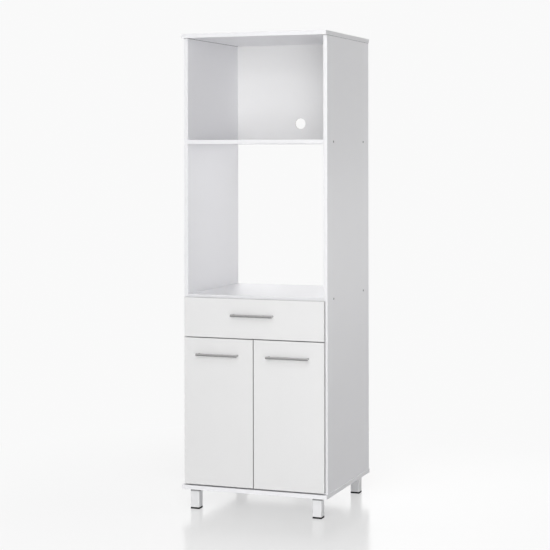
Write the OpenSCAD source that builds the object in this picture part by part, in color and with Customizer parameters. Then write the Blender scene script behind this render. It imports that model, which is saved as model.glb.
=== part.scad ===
// Tall oven-and-microwave cabinet: an open upper compartment, an open appliance bay,
// one drawer and a pair of doors, standing on four square legs.
// Millimetres, +Z up. The front faces -Y. The origin is under the middle of the whole cabinet,
// handles included, on the floor. Inside the code y = 0 is the front edge of the side panels.

/* [Carcass] */
// Width over the top and bottom panels
cabinet_w = 600; // [500:1:900]
// Depth of the side panels
side_depth = 537; // [500:1:640]
// Thickness of the melamine boards
board_t = 16; // [15:0.5:22]
// Clear height behind the doors and the drawer
lower_h = 732; // [620:1:900]
// Clear height of the appliance bay
bay_h = 590; // [400:1:700]
// Clear height of the upper compartment
upper_h = 400; // [300:1:550]
// How far the top and bottom panels lap past each side panel
side_overhang = 3; // [1:0.5:6]
// How far the top and bottom panels stand in front of the side panels
front_overhang = 21; // [20:1:40]
// Radius of the banded board edges
edge_r = 0.8; // [0.4:0.1:2]

/* [Back panels] */
// Thickness of the hardboard backs
back_t = 3; // [2.5:0.5:6]
// How far a back stays inside the outline of the boards it is nailed to
back_inset = 2; // [1:0.5:6]
// Diameter of the cable hole
cable_hole_d = 45; // [30:1:80]
// Height of the cable hole's centre above the middle shelf
cable_hole_up = 70; // [45:1:120]

/* [Legs] */
// Height of the bottom panel above the floor
leg_h = 80; // [60:1:150]
// Width of the square leg
leg_w = 36; // [30:1:60]
// Wall of the leg tube
leg_wall = 2; // [1.5:0.5:4]
// Radius of the leg's upright edges
leg_corner_r = 2; // [1:0.5:4]
// Thickness of the plate that closes the leg's top
leg_plate_t = 3; // [2:0.5:6]
// From the end of the bottom panel to the leg
leg_side_inset = 29; // [20:1:60]
// From the front edge of the bottom panel to the front leg
leg_front_inset = 21; // [10:1:60]
// From the rear edge of the bottom panel to the rear leg
leg_rear_inset = 18; // [10:1:60]
// Visible thickness of the black foot pad
pad_t = 4.5; // [3:0.5:10]
// Height of the plug that holds the pad in the leg
pad_plug_h = 12; // [6:1:25]

/* [Fronts] */
// Thickness of the doors and the drawer front
front_t = 16; // [16:0.5:18]
// Air behind the closed fronts
back_gap = 3; // [2.5:0.1:4]
// Air between neighbouring fronts
front_gap = 3; // [2:0.5:5]
// From the outer face of the side panel to the edge of the fronts
front_reveal = 8; // [7.5:0.1:8.5]
// Height of the drawer front
drawer_front_h = 154; // [140:1:220]
// How far the drawer front laps over the front edge of the bay floor
drawer_lap = 5; // [2:1:12]
// Air between the bottom panel and the doors
door_lift = 5; // [2:1:10]

/* [Handles] */
// Diameter of the bar
bar_d = 10; // [8:0.5:14]
// Length of the bar
bar_l = 171; // [120:1:240]
// Radius of the bar's end edges
bar_end_r = 1; // [0.5:0.1:2]
// From the face of the front to the bar's centre line
bar_reach = 25; // [20:1:40]
// Diameter of the two posts
post_d = 8; // [6:0.5:10]
// Distance between the two posts
post_pitch = 160; // [96:1:160]
// From the top edge of the front to the handle
handle_drop = 64; // [40:1:70]

/* [Drawer] */
// Depth of the drawer box and length of the runners
runner_l = 450; // [400:50:450]
// How far the drawer pulls out
drawer_travel = 340; // [200:10:360]
// Air between a side panel and the drawer side, filled by the runner
runner_gap = 12.5; // [12.5:0.5:13]
// Height of the drawer sides
drawer_side_h = 100; // [80:1:120]
// Thickness of the drawer sides and back
drawer_side_t = 12; // [12:1:16]
// From the lower edge of the drawer front to the drawer sides
drawer_rise = 11; // [6:1:20]
// Thickness of the drawer bottom
drawer_bottom_t = 3; // [3:0.5:5]
// Depth of the groove that holds the drawer bottom
groove_depth = 6; // [4:0.5:6]
// From the lower edge of a drawer side to the groove
groove_up = 10; // [8:1:20]

/* [Runners] */
// Diameter of the nylon rollers
roller_d = 22; // [18:0.5:24]
// Width of the rollers
roller_w = 6.2; // [5.6:0.1:6.4]
// Diameter of the roller axles
axle_d = 4; // [3:0.5:5]
// Thickness of the rolled steel strip
strip_t = 1.2; // [1:0.1:1.4]
// From the front edge of the side panel to the front roller
front_roller_y = 25; // [16:1:40]
// Height of the pressed stop that keeps the drawer in
stop_h = 2; // [1:0.5:3]
// Running gap between a roller and its track
run_gap = 0.3; // [0.2:0.05:0.4]

/* [Hinges] */
// Diameter of the hinge cup
cup_d = 35; // [35:0.5:36]
// Depth of the hinge cup
cup_depth = 12; // [11.8:0.1:12.4]
// Wall of the pressed cup
cup_wall = 0.8; // [0.6:0.1:0.8]
// From the edge of the door to the cup
cup_edge = 3; // [2.8:0.1:3.2]
// From the edge of the door to the hinge pin
pin_edge = 6.7; // [6.6:0.05:6.9]
// Depth of the hinge pin behind the back of the door
pin_depth = 8.9; // [8.7:0.05:9]
// Diameter of the hinge pin
pin_d = 2.2; // [1.8:0.1:2.4]
// Diameter of the arm's eye
eye_d = 4; // [3.8:0.1:4.1]
// Thickness of the arm
arm_t = 2.2; // [1.8:0.1:2.3]
// Width of the hooked end of the arm
hook_w = 7; // [5:0.5:7]
// Width of the arm's channel
arm_w = 18; // [16:0.5:22]
// From the top or bottom edge of the door to a hinge
hinge_inset = 95; // [70:1:140]
// From the front edge of the side panel to the screws of the mounting plate
plate_y = 37; // [37:1:40]
// Distance between the two screws of a mounting plate
plate_pitch = 32; // [32:1:40]

/* [Cupboard shelf] */
// From the bottom panel to the shelf inside the cupboard
inner_shelf_up = 280; // [200:1:300]
// From the front edge of the side panels to the shelf
inner_shelf_setback = 20; // [10:1:60]
// Distance between the shelf pin holes
pin_pitch = 32; // [25:1:32]
// Diameter of the shelf pins
shelf_pin_d = 5; // [4:0.5:6]

/* [Fasteners] */
// Diameter of the carcass screws
screw_d = 5; // [4:0.5:6]
// Diameter of the carcass screw heads
screw_head_d = 7; // [7:0.5:9]
// Length of the carcass screws
screw_l = 50; // [40:1:60]
// From the front and rear edges of the side panel to its screws
screw_inset = 75; // [50:1:100]
// Diameter of the wooden dowels
dowel_d = 8; // [6:1:8]
// Length of the wooden dowels
dowel_l = 30; // [24:1:35]
// From the front and rear edges of the side panel to the dowels of the end joints
dowel_inset = 140; // [120:1:200]
// Air round a pin, dowel or screw in its hole
fit_gap = 0.06; // [0.03:0.01:0.1]

/* [Hidden] */
$fn = 48;
eps = 0.01;

// Colours
white = [0.93, 0.93, 0.94];
leg_grey = [0.80, 0.80, 0.82];
nickel = [0.68, 0.68, 0.67];
zinc = [0.74, 0.76, 0.78];
runner_white = [0.88, 0.88, 0.87];
nylon = [0.86, 0.86, 0.84];
beech = [0.80, 0.66, 0.47];
black = [0.09, 0.09, 0.10];

// Carcass
side_x = cabinet_w / 2 - side_overhang;
inner_x = side_x - board_t;
joint_x = side_x - board_t / 2;
bottom_z = leg_h;
cupboard_z = bottom_z + board_t;
floor_z = cupboard_z + lower_h;
bay_z = floor_z + board_t;
shelf_z = bay_z + bay_h;
upper_z = shelf_z + board_t;
top_z = upper_z + upper_h;
total_h = top_z + board_t;
back_y = side_depth + back_t;

// Fronts, as seen from the front edge of the side panels
front_x = side_x - front_reveal;
rear_face_y = -back_gap;
face_y = rear_face_y - front_t;
drawer_front_z = floor_z + drawer_lap - drawer_front_h;
door_top_z = drawer_front_z - front_gap;
door_bottom_z = cupboard_z + door_lift;
door_h = door_top_z - door_bottom_z;
door_w = front_x - front_gap / 2;
bar_y = face_y - bar_reach;
drawer_handle_z = drawer_front_z + drawer_front_h - handle_drop;
door_handle_z = door_top_z - handle_drop;
door_handle_x = (front_x + front_gap / 2) / 2;
origin_y = -(bar_y - bar_d / 2 + back_y) / 2;

// Screws and dowels of the carcass
screw_y = [screw_inset, side_depth - screw_inset];
end_dowel_y = [dowel_inset, side_depth - dowel_inset];
shelf_mid_z = [floor_z + board_t / 2, shelf_z + board_t / 2];
dowel_in_face = 10;
dowel_hole_spare = 0.5;
head_h = 3;
socket_depth = 1.8;

// Handle screws
handle_screw_d = 4;
handle_screw_bite = 9;
pan_head_d = 8;
pan_head_h = 2.6;

// Legs
leg_x = cabinet_w / 2 - leg_side_inset - leg_w / 2;
leg_y = [-front_overhang + leg_front_inset + leg_w / 2, side_depth - leg_rear_inset - leg_w / 2];
leg_bolt_d = 8;
leg_bolt_bite = 11;
leg_bolt_head_h = 5;
leg_bolt_head_d = 15;
pad_inset = 0.6;
pad_gap = 0.2;
pad_floor_t = 2;

// Drawer box
drawer_side_z = drawer_front_z + drawer_rise;
drawer_x = inner_x - runner_gap;
drawer_inner_x = drawer_x - drawer_side_t;
drawer_bottom_z = drawer_side_z + groove_up;
groove_gap = 0.1;
drawer_end_y = rear_face_y + runner_l;
drawer_screw_l = 35;
drawer_screw_d = 4;
fixing_from_bottom = 35;
fixing_from_top = 25;
drawer_fixing_z = [drawer_side_z + fixing_from_bottom,
                   drawer_side_z + drawer_side_h - fixing_from_top];
cam_d = 15;
cam_h = 9.6;
cam_inset = 30;
cam_y = rear_face_y + cam_inset;
cam_bolt_d = 6;
cam_bolt_bite = 10;
cam_gap = 0.2;

// Runners: d is measured from the inner face of the side panel, h from the roller axles
roller_r = roller_d / 2;
track_h = roller_r + run_gap;
roller_z = drawer_side_z + track_h;
roller_d0 = (runner_gap - roller_w) / 2;
roller_d1 = roller_d0 + roller_w;
web_d = runner_gap - strip_t;
cabinet_flange_w = web_d - run_gap;
track_lip_h = 1.6;
upper_lip_w = 5;
drawer_flange_w = 6.4;
drawer_leg_w = 9;
cabinet_runner_y = 2;
rear_roller_y = drawer_end_y - roller_r;
axle_head_d = 6.8;
axle_head_t = 0.9;
axle_base_d = 8;
hub_recess = 0.6;
hub_d = 9;
roller_edge = 0.5;
stop_l = 4;
stop_reach = sqrt(pow(roller_r, 2) - pow(track_h - stop_h, 2)) + 0.5;
stop_y = rear_roller_y - drawer_travel - stop_reach;
small_screw_d = 3.5;
small_head_d = 5.2;
small_head_h = 1.1;
runner_screw_l = 13;
runner_screw_drop = 7;
runner_screw_y = [69, 261, 389];
drawer_runner_screw_y = [60, 360];
drawer_runner_screw_l = strip_t + groove_up - 1.5;

// Hinges, right door; the left door is the mirror image
pin_x = front_x - pin_edge;
pin_y = rear_face_y - pin_depth;
cup_x = front_x - cup_edge - cup_d / 2;
cup_fit = 0.15;
cup_r = cup_d / 2 - cup_fit;
cup_bore_spare = 0.2;
flange_t = 0.9;
flange_lap = 1.5;
cup_screw_x = 6;
cup_screw_z = 24;
cup_screw_l = 12;
ear_r = 7;
lug_gap = 0.3;
lug_t = 2;
hook_drop = 0.2;
hook_run = 9.4;
hook_bend_r = 3.6;
hook_top_y = 8;
arm_x = pin_x - hook_run - hook_bend_r;
arm_taper_y = 17;
arm_tail = 25;
arm_end_y = plate_y + arm_tail;
arm_flange_t = 1.2;
arm_flange_h = 6;
arm_screw_ahead = 12;
arm_screw_behind = 14;
arm_screw_y = [plate_y - arm_screw_ahead, plate_y + arm_screw_behind];
arm_screw_d = 4;
arm_screw_head_d = 7;
hinge_screw_head_h = 1.8;
plate_t = 2.4;
plate_lap = 7;
plate_gap = 0.1;
plate_slot_w = 4;
plate_screw_d = 6;
plate_screw_head_d = 9;
plate_screw_bite = 11;
hinge_z = [door_bottom_z + hinge_inset, door_top_z - hinge_inset];

// Cupboard shelf
inner_shelf_z = cupboard_z + inner_shelf_up;
inner_shelf_gap = 1;
pin_rows = 5;
shelf_pin_inset = 52;
shelf_pin_y = [plate_y, side_depth - shelf_pin_inset];
shelf_pin_reach = 8;
shelf_pin_bite = 8.5;

// ---------- helpers ----------

// Puts a piece in the cabinet's own frame
module placed() {
    translate([0, origin_y, 0]) children();
}

// A piece of the right side, or its mirror image for side = -1
module on_side(side) {
    if (side > 0) children();
    else mirror([1, 0, 0]) children();
}

// Runs a section along X: its x becomes Y, its y becomes Z
module along_x(length) {
    rotate([90, 0, 90]) linear_extrude(length) children();
}

// Runs a section along Y: its x stays X, its y becomes Z
module along_y(length) {
    translate([0, length, 0]) rotate([90, 0, 0]) linear_extrude(length) children();
}

// Rectangle whose two corners at x = 0 are rounded: a board with one banded edge
module banded_front(a, b) {
    translate([edge_r, 0]) square([a - edge_r, b]);
    translate([0, edge_r]) square([2 * edge_r, b - 2 * edge_r]);
    for (v = [edge_r, b - edge_r]) translate([edge_r, v]) circle(edge_r);
}

// Rectangle with four rounded corners, from the origin
module rounded_rect(a, b, r) {
    translate([r, 0]) square([a - 2 * r, b]);
    translate([0, r]) square([a, b - 2 * r]);
    for (u = [r, a - r], v = [r, b - r]) translate([u, v]) circle(r);
}

// Board that lies flat with its front and both ends banded, centred on x
module end_board() {
    depth = side_depth + front_overhang;
    translate([-cabinet_w / 2, -front_overhang, 0]) intersection() {
        along_x(cabinet_w) banded_front(depth, board_t);
        along_y(depth) rounded_rect(cabinet_w, board_t, edge_r);
    }
}

// Board that lies flat between the sides, with its front edge banded
module shelf_board(half_w, depth) {
    translate([-half_w, 0, 0]) along_x(2 * half_w) banded_front(depth, board_t);
}

// Upright front panel with four banded edges, from its lower corner
module front_board(w, h) {
    intersection() {
        linear_extrude(h) rounded_rect(w, front_t, edge_r);
        along_x(w) rounded_rect(front_t, h, edge_r);
    }
}

// Turned shape on +Z from a list of [radius, height] points on its outline
module turned(points) {
    rotate_extrude() polygon(points);
}

// Countersunk carcass screw pointing down, the top of its head at z = 0
module carcass_screw(d, head_d, length) {
    tip = d;
    difference() {
        turned([[0, 0], [head_d / 2, 0], [head_d / 2, -1], [d / 2, -head_h],
                [d / 2, tip - length], [d / 5, -length], [0, -length]]);
        translate([0, 0, -socket_depth]) cylinder(d = head_d / 2, h = socket_depth + 1, $fn = 6);
    }
}

// Hole for a carcass screw, open past the face it is driven through
module carcass_screw_hole(d, head_d, length) {
    translate([0, 0, -length - fit_gap]) cylinder(d = d + 2 * fit_gap, h = length + 1);
    turned([[0, 1], [head_d / 2 + fit_gap, 1], [head_d / 2 + fit_gap, -1],
            [d / 2 + fit_gap, -head_h], [0, -head_h]]);
}

// Round-headed screw pointing down, the underside of its head at z = 0
module pan_screw(d, length, head_d, head_h) {
    difference() {
        turned([[0, head_h], [head_d / 2 - head_h / 2, head_h], [head_d / 2, head_h / 2],
                [head_d / 2, 0], [d / 2, 0], [d / 2, 1 - length], [d / 3, -length], [0, -length]]);
        for (turn = [0, 90]) rotate(turn)
            translate([-head_d / 4, -head_d / 16, head_h / 2]) cube([head_d / 2, head_d / 8, head_h]);
    }
}

// ---------- places ----------

module at_side_screws() {
    for (s = [-1, 1], y = screw_y, z = shelf_mid_z)
        translate([s * side_x, y, z]) rotate([0, s * 90, 0]) children();
}

module at_end_screws() {
    for (s = [-1, 1], y = screw_y) {
        translate([s * joint_x, y, total_h]) children();
        translate([s * joint_x, y, bottom_z]) rotate([180, 0, 0]) children();
    }
}

// +Z points into the face that takes the short part of the dowel
module at_dowels() {
    for (s = [-1, 1]) {
        for (z = shelf_mid_z)
            translate([s * inner_x, side_depth / 2, z]) rotate([0, s * 90, 0]) children();
        for (y = end_dowel_y) {
            translate([s * joint_x, y, top_z]) children();
            translate([s * joint_x, y, cupboard_z]) rotate([180, 0, 0]) children();
        }
    }
}

module at_leg(side, end) {
    translate([side * leg_x, leg_y[end], 0]) children();
}

module at_legs() {
    for (side = [-1, 1], end = [0, 1]) at_leg(side, end) children();
}

// ---------- carcass ----------

module dowel_hole() {
    translate([0, 0, dowel_in_face - dowel_l - dowel_hole_spare])
        cylinder(d = dowel_d + 2 * fit_gap, h = dowel_l + 2 * dowel_hole_spare);
}

module dowel() {
    chamfer = 1;
    translate([0, 0, dowel_in_face - dowel_l])
        turned([[0, 0], [dowel_d / 2 - chamfer, 0], [dowel_d / 2, chamfer],
                [dowel_d / 2, dowel_l - chamfer], [dowel_d / 2 - chamfer, dowel_l], [0, dowel_l]]);
}

module carcass_holes() {
    at_side_screws() carcass_screw_hole(screw_d, screw_head_d, screw_l);
    at_end_screws() carcass_screw_hole(screw_d, screw_head_d, screw_l);
    at_dowels() dowel_hole();
}

module top_panel() {
    color(white) placed() difference() {
        translate([0, 0, top_z]) end_board();
        carcass_holes();
    }
}

module bottom_panel() {
    color(white) placed() difference() {
        translate([0, 0, bottom_z]) end_board();
        carcass_holes();
        at_legs() translate([0, 0, bottom_z - 1])
            cylinder(d = leg_bolt_d + 2 * fit_gap, h = leg_bolt_bite + 1.5);
    }
}

module side_panel(side) {
    color(white) placed() difference() {
        on_side(side) translate([inner_x, 0, cupboard_z])
            linear_extrude(top_z - cupboard_z) mirror([1, -1, 0]) banded_front(side_depth, board_t);
        carcass_holes();
        on_side(side) {
            for (z = hinge_z, n = [-1, 1])
                translate([inner_x, plate_y, z + n * plate_pitch / 2]) rotate([0, 90, 0])
                    translate([0, 0, -1]) cylinder(d = plate_screw_d + 2 * fit_gap,
                                                   h = plate_screw_bite + 1.5);
            for (y = runner_screw_y)
                translate([inner_x, y, roller_z - runner_screw_drop]) rotate([0, 90, 0])
                    translate([0, 0, -1]) cylinder(d = small_screw_d + 2 * fit_gap,
                                                   h = runner_screw_l + 0.5);
            for (y = shelf_pin_y, n = [0:pin_rows - 1])
                translate([inner_x, y, shelf_pin_z() + (n - (pin_rows - 1) / 2) * pin_pitch])
                    rotate([0, 90, 0]) translate([0, 0, -1])
                        cylinder(d = shelf_pin_d + 2 * fit_gap, h = shelf_pin_bite + 1.5);
        }
    }
}

module fixed_shelf(z) {
    color(white) placed() difference() {
        translate([0, 0, z]) shelf_board(inner_x, side_depth);
        carcass_holes();
    }
}

// Hardboard back nailed to the rear edges of the boards between two heights
module back_panel(z0, z1) {
    half_w = side_x - back_inset;
    translate([-half_w, side_depth, z0 + back_inset])
        cube([2 * half_w, back_t, z1 - z0 - 2 * back_inset]);
}

module upper_back_panel() {
    color(white) placed() difference() {
        back_panel(shelf_z, total_h);
        translate([0, back_y + 1, upper_z + cable_hole_up]) rotate([90, 0, 0])
            cylinder(d = cable_hole_d, h = back_t + 2, $fn = 96);
    }
}

module lower_back_panel() {
    color(white) placed() back_panel(bottom_z, bay_z);
}

// ---------- cupboard shelf ----------

function shelf_pin_z() = inner_shelf_z - shelf_pin_d / 2;

module cupboard_shelf() {
    color(white) placed() translate([0, inner_shelf_setback, inner_shelf_z])
        shelf_board(inner_x - inner_shelf_gap, side_depth - inner_shelf_setback - inner_shelf_gap);
}

module shelf_pins() {
    dome = 0.8;
    r = shelf_pin_d / 2;
    length = shelf_pin_bite + shelf_pin_reach;
    color(zinc) placed() for (s = [-1, 1], y = shelf_pin_y)
        translate([s * (inner_x + shelf_pin_bite), y, shelf_pin_z()]) rotate([0, -s * 90, 0])
            turned([[0, 0], [r - dome, 0], [r, dome], [r, length - dome], [r - dome, length],
                    [0, length]]);
}

// ---------- carcass fasteners ----------

module side_screws() {
    color(zinc) placed() at_side_screws() carcass_screw(screw_d, screw_head_d, screw_l);
}

module end_panel_screws() {
    color(zinc) placed() at_end_screws() carcass_screw(screw_d, screw_head_d, screw_l);
}

module dowels() {
    color(beech) placed() at_dowels() dowel();
}

// ---------- legs ----------

module square_tube(w, wall, h) {
    linear_extrude(h) difference() {
        translate([-w / 2, -w / 2]) rounded_rect(w, w, leg_corner_r);
        square(w - 2 * wall, center = true);
    }
}

module leg(side, end) {
    color(leg_grey) placed() at_leg(side, end) difference() {
        union() {
            translate([0, 0, pad_t]) square_tube(leg_w, leg_wall, leg_h - pad_t);
            translate([-leg_w / 2 + eps, -leg_w / 2 + eps, leg_h - leg_plate_t])
                linear_extrude(leg_plate_t) translate([-eps, -eps])
                    rounded_rect(leg_w, leg_w, leg_corner_r);
        }
        translate([0, 0, leg_h - leg_plate_t - 1])
            cylinder(d = leg_bolt_d + 2 * fit_gap, h = leg_plate_t + 2);
    }
}

module foot_pads() {
    w = leg_w - 2 * pad_inset;
    plug = leg_w - 2 * leg_wall - 2 * pad_gap;
    color(black) placed() at_legs() difference() {
        union() {
            linear_extrude(pad_t) translate([-w / 2, -w / 2]) rounded_rect(w, w, leg_corner_r);
            translate([-plug / 2, -plug / 2, pad_t - 1]) cube([plug, plug, pad_plug_h + 1]);
        }
        translate([-plug / 2 + pad_floor_t, -plug / 2 + pad_floor_t, pad_t])
            cube([plug - 2 * pad_floor_t, plug - 2 * pad_floor_t, pad_plug_h + 1]);
    }
}

module leg_bolts() {
    seat = leg_h - leg_plate_t;
    color(zinc) placed() at_legs() {
        translate([0, 0, seat - leg_bolt_head_h])
            cylinder(d = leg_bolt_head_d, h = leg_bolt_head_h, $fn = 6);
        translate([0, 0, seat - 1]) cylinder(d = leg_bolt_d, h = leg_plate_t + leg_bolt_bite + 1);
    }
}

// ---------- drawer runners ----------

// Section in x = distance from the side panel, y = height over the roller axles
module cabinet_runner_section() {
    translate([0, -track_h - strip_t]) square([strip_t, 2 * (track_h + strip_t)]);
    translate([0, -track_h - strip_t]) square([cabinet_flange_w, strip_t]);
    translate([cabinet_flange_w - strip_t, -track_h - strip_t]) square([strip_t, strip_t + track_lip_h]);
    translate([0, track_h]) square([upper_lip_w, strip_t]);
}

module drawer_runner_section() {
    translate([web_d, -track_h - strip_t]) square([strip_t, 2 * (track_h + strip_t)]);
    translate([runner_gap - drawer_flange_w, track_h]) square([drawer_flange_w, strip_t]);
    translate([web_d, -track_h - strip_t]) square([strip_t + drawer_leg_w, strip_t]);
}

// Riveted axle that starts on a strip at z = 0 and carries a roller lying on +Z
module roller_axle(base) {
    reach = base + roller_w + 2 * run_gap;
    cylinder(d = axle_base_d, h = base);
    cylinder(d = axle_d, h = reach);
    translate([0, 0, reach - eps]) cylinder(d = axle_head_d, h = axle_head_t);
}

// Turns the right runner's d and h into the cabinet's x and z
module runner_frame(side) {
    on_side(side) translate([inner_x, 0, roller_z]) mirror([1, 0, 0]) children();
}

module cabinet_runner(side) {
    base = roller_d0 - run_gap - strip_t;
    color(runner_white) placed() runner_frame(side) {
        difference() {
            translate([0, cabinet_runner_y, 0]) along_y(runner_l) cabinet_runner_section();
            for (y = runner_screw_y) translate([-1, y, -runner_screw_drop]) rotate([0, 90, 0])
                cylinder(d = small_screw_d + 2 * fit_gap, h = strip_t + 2);
        }
        translate([strip_t - eps, front_roller_y, 0]) rotate([0, 90, 0]) roller_axle(base + eps);
        translate([strip_t, stop_y - stop_l, -track_h - eps])
            cube([cabinet_flange_w - 2 * strip_t, stop_l, stop_h]);
    }
}

module drawer_runner(side) {
    base = web_d - roller_d1 - run_gap;
    color(runner_white) placed() runner_frame(side) {
        difference() {
            translate([0, rear_face_y, 0]) along_y(runner_l) drawer_runner_section();
            for (y = drawer_runner_screw_y)
                translate([runner_gap + drawer_side_t / 2, y, -track_h - strip_t - 1])
                    cylinder(d = small_screw_d + 2 * fit_gap, h = strip_t + 2);
        }
        translate([web_d + eps, rear_roller_y, 0]) rotate([0, -90, 0]) roller_axle(base + eps);
    }
}

// Nylon roller on the axis X, with its hub left proud
module roller(side, y) {
    r0 = axle_d / 2 + fit_gap;
    color(nylon) placed() runner_frame(side) translate([roller_d0, y, 0]) rotate([0, 90, 0])
        turned([[r0, 0], [hub_d / 2, 0], [hub_d / 2 + hub_recess, hub_recess],
                [roller_r - 2, hub_recess], [roller_r - 1.4, 0], [roller_r - roller_edge, 0],
                [roller_r, roller_edge], [roller_r, roller_w - roller_edge],
                [roller_r - roller_edge, roller_w], [roller_r - 1.4, roller_w],
                [roller_r - 2, roller_w - hub_recess], [hub_d / 2 + hub_recess, roller_w - hub_recess],
                [hub_d / 2, roller_w], [r0, roller_w]]);
}

module runner_screws() {
    color(zinc) placed() for (side = [-1, 1]) runner_frame(side) for (y = runner_screw_y)
        translate([strip_t, y, -runner_screw_drop]) rotate([0, 90, 0])
            pan_screw(small_screw_d, runner_screw_l, small_head_d, small_head_h);
}

// ---------- drawer ----------

module drawer_front() {
    color(white) placed() difference() {
        translate([-front_x, face_y, drawer_front_z]) front_board(2 * front_x, drawer_front_h);
        drawer_bottom_groove();
        handle_holes(0, drawer_handle_z);
        at_cam_bolts() rotate([90, 0, 0]) translate([0, 0, -1])
            cylinder(d = cam_bolt_d + 2 * fit_gap, h = cam_bolt_bite + 1.5);
    }
}

// Space that the drawer bottom slides into
module drawer_bottom_groove() {
    half_w = drawer_inner_x + groove_depth;
    translate([-half_w, rear_face_y - groove_depth, drawer_bottom_z - groove_gap])
        cube([2 * half_w, runner_l + groove_depth + 1, drawer_bottom_t + 2 * groove_gap]);
}

module drawer_side(side) {
    color(white) placed() difference() {
        on_side(side) translate([drawer_inner_x, rear_face_y, drawer_side_z])
            along_y(runner_l) rounded_top(drawer_side_t, drawer_side_h);
        drawer_bottom_groove();
        at_drawer_screws() carcass_screw_hole(drawer_screw_d, screw_head_d, drawer_screw_l);
        at_cams() translate([0, 0, -cam_h - fit_gap]) cylinder(d = cam_d + 2 * cam_gap, h = cam_h + 1);
        at_cam_bolts() rotate([-90, 0, 0]) translate([0, 0, -1])
            cylinder(d = cam_bolt_d + 2 * cam_gap, h = cam_y - rear_face_y + 1);
        on_side(side) runner_frame(1) for (y = drawer_runner_screw_y)
            translate([runner_gap + drawer_side_t / 2, y, -track_h - 1])
                cylinder(d = small_screw_d + 2 * fit_gap, h = drawer_runner_screw_l - strip_t + 1.2);
    }
}

// Rectangle whose two upper corners are rounded: a board with its top edge banded
module rounded_top(a, b) {
    square([a, b - edge_r]);
    translate([edge_r, 0]) square([a - 2 * edge_r, b]);
    for (u = [edge_r, a - edge_r]) translate([u, b - edge_r]) circle(edge_r);
}

module drawer_back() {
    z = drawer_bottom_z + drawer_bottom_t + groove_gap;
    color(white) placed() difference() {
        translate([-drawer_inner_x, drawer_end_y - drawer_side_t, z])
            cube([2 * drawer_inner_x, drawer_side_t, drawer_side_z + drawer_side_h - z]);
        at_drawer_screws() carcass_screw_hole(drawer_screw_d, screw_head_d, drawer_screw_l);
    }
}

module drawer_bottom() {
    half_w = drawer_inner_x + groove_depth - groove_gap;
    color(white) placed()
        translate([-half_w, rear_face_y - groove_depth + groove_gap, drawer_bottom_z])
            cube([2 * half_w, runner_l + groove_depth - groove_gap, drawer_bottom_t]);
}

module at_drawer_screws() {
    for (s = [-1, 1], z = drawer_fixing_z)
        translate([s * drawer_x, drawer_end_y - drawer_side_t / 2, z]) rotate([0, s * 90, 0]) children();
}

// Cam housings open on the outer faces of the drawer sides
module at_cams() {
    for (s = [-1, 1], z = drawer_fixing_z)
        translate([s * drawer_x, cam_y, z]) rotate([0, s * 90, 0]) children();
}

module at_cam_bolts() {
    for (s = [-1, 1], z = drawer_fixing_z)
        translate([s * (drawer_x - drawer_side_t / 2), rear_face_y, z]) children();
}

module drawer_screws() {
    color(zinc) placed() at_drawer_screws() carcass_screw(drawer_screw_d, screw_head_d, drawer_screw_l);
}

module drawer_cams() {
    bolt_depth = drawer_side_t / 2;
    color(zinc) placed() at_cams() difference() {
        translate([0, 0, -cam_h]) cylinder(d = cam_d, h = cam_h);
        translate([0, 0, -bolt_depth]) rotate([90, 0, 0])
            translate([0, 0, -cam_d / 5]) cylinder(d = cam_bolt_d + 2 * cam_gap, h = cam_d);
        for (turn = [0, 90]) rotate(turn) translate([-3, -0.6, -1.4]) cube([6, 1.2, 2]);
    }
}

module drawer_cam_bolts() {
    collar_d = cam_bolt_d + 1.6;
    neck_d = cam_bolt_d - 2;
    head_l = 4;
    length = cam_y - rear_face_y + cam_d / 5 - 0.6;
    color(zinc) placed() at_cam_bolts() {
        rotate([-90, 0, 0]) turned([[0, -cam_bolt_bite], [cam_bolt_d / 2, -cam_bolt_bite],
            [cam_bolt_d / 2, length - 2 * head_l], [neck_d / 2, length - 2 * head_l + 1],
            [neck_d / 2, length - head_l], [cam_bolt_d / 2, length - head_l + 1],
            [cam_bolt_d / 2, length - 1], [cam_bolt_d / 2 - 1, length], [0, length]]);
    }
}

module drawer_runner_screws() {
    color(zinc) placed() for (side = [-1, 1]) runner_frame(side) for (y = drawer_runner_screw_y)
        translate([runner_gap + drawer_side_t / 2, y, -track_h - strip_t]) rotate([180, 0, 0])
            pan_screw(small_screw_d, drawer_runner_screw_l, small_head_d, small_head_h);
}

// ---------- handles ----------

// Two clear holes through a front for the screws of a handle
module handle_holes(x, z) {
    for (s = [-1, 1]) translate([x + s * post_pitch / 2, rear_face_y + 1, z]) rotate([90, 0, 0])
        cylinder(d = handle_screw_d + 4 * fit_gap, h = front_t + 2);
}

module handle(x, z) {
    e = bar_end_r;
    r = bar_d / 2;
    thread_depth = handle_screw_bite + 1;
    color(nickel) placed() translate([x, face_y, z]) difference() {
        union() {
            translate([-bar_l / 2, -bar_reach, 0]) rotate([0, 90, 0]) {
                translate([0, 0, e]) cylinder(r = r, h = bar_l - 2 * e);
                for (end = [0, 1]) translate([0, 0, end * bar_l]) mirror([0, 0, end]) bar_end(r, e);
            }
            for (s = [-1, 1]) translate([s * post_pitch / 2, 0, 0]) rotate([90, 0, 0])
                cylinder(d = post_d, h = bar_reach);
        }
        for (s = [-1, 1]) translate([s * post_pitch / 2, 1, 0]) rotate([90, 0, 0])
            cylinder(d = handle_screw_d + 2 * fit_gap, h = thread_depth + 1);
    }
}

// The rounded end of the bar, from its flat end at z = 0
module bar_end(r, e) {
    steps = 4;
    turned(concat([[0, 0]], [for (i = [0:steps]) let (a = 90 * i / steps)
        [r - e + e * sin(a), e - e * cos(a)]], [[r, e + eps], [0, e + eps]]));
}

module handle_screws(x, z) {
    color(zinc) placed() for (s = [-1, 1])
        translate([x + s * post_pitch / 2, rear_face_y, z]) rotate([-90, 0, 0])
            pan_screw(handle_screw_d, front_t + handle_screw_bite, pan_head_d, pan_head_h);
}

// ---------- doors ----------

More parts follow.
